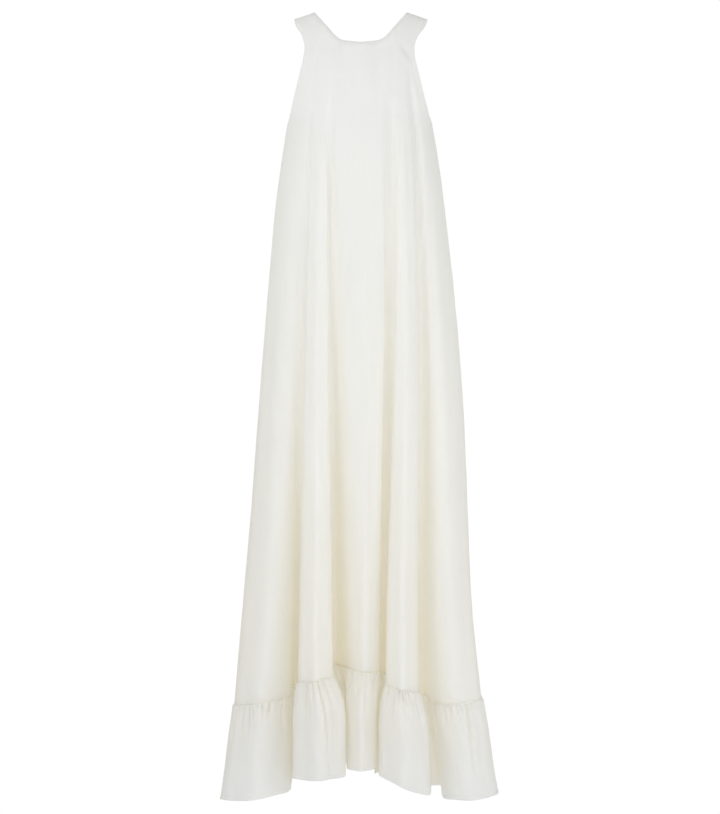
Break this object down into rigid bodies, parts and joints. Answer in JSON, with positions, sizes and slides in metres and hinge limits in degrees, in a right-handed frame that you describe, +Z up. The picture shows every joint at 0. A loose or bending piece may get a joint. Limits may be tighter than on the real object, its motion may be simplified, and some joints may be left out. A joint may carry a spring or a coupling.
{
  "type": "maxi dress",
  "caption": "Sleeveless ivory maxi dress as worn: wide straps, shallow scoop neck, trapeze cut in deep tubular folds, gathered ruffle hem. Hollow, open at neck, armholes and hem.",
  "frame": {"origin": "midway between the two shoulder straps, level with the tops of the shoulders at the neck", "axes": "+X to the right of someone facing the front, +Y away from them towards the back, +Z up"},
  "size_m": [0.526, 0.4353, 1.492],
  "materials": {
    "cloth": "matt slubbed plain weave, ivory",
    "ruffle_cloth": "matt slubbed plain weave, ivory"
  },
  "bodies": {
    "root": {"front_panel": "cloth", "back_panel": "cloth", "front_ruffle": "ruffle_cloth", "back_ruffle": "ruffle_cloth"}
  },
  "joints": []
}
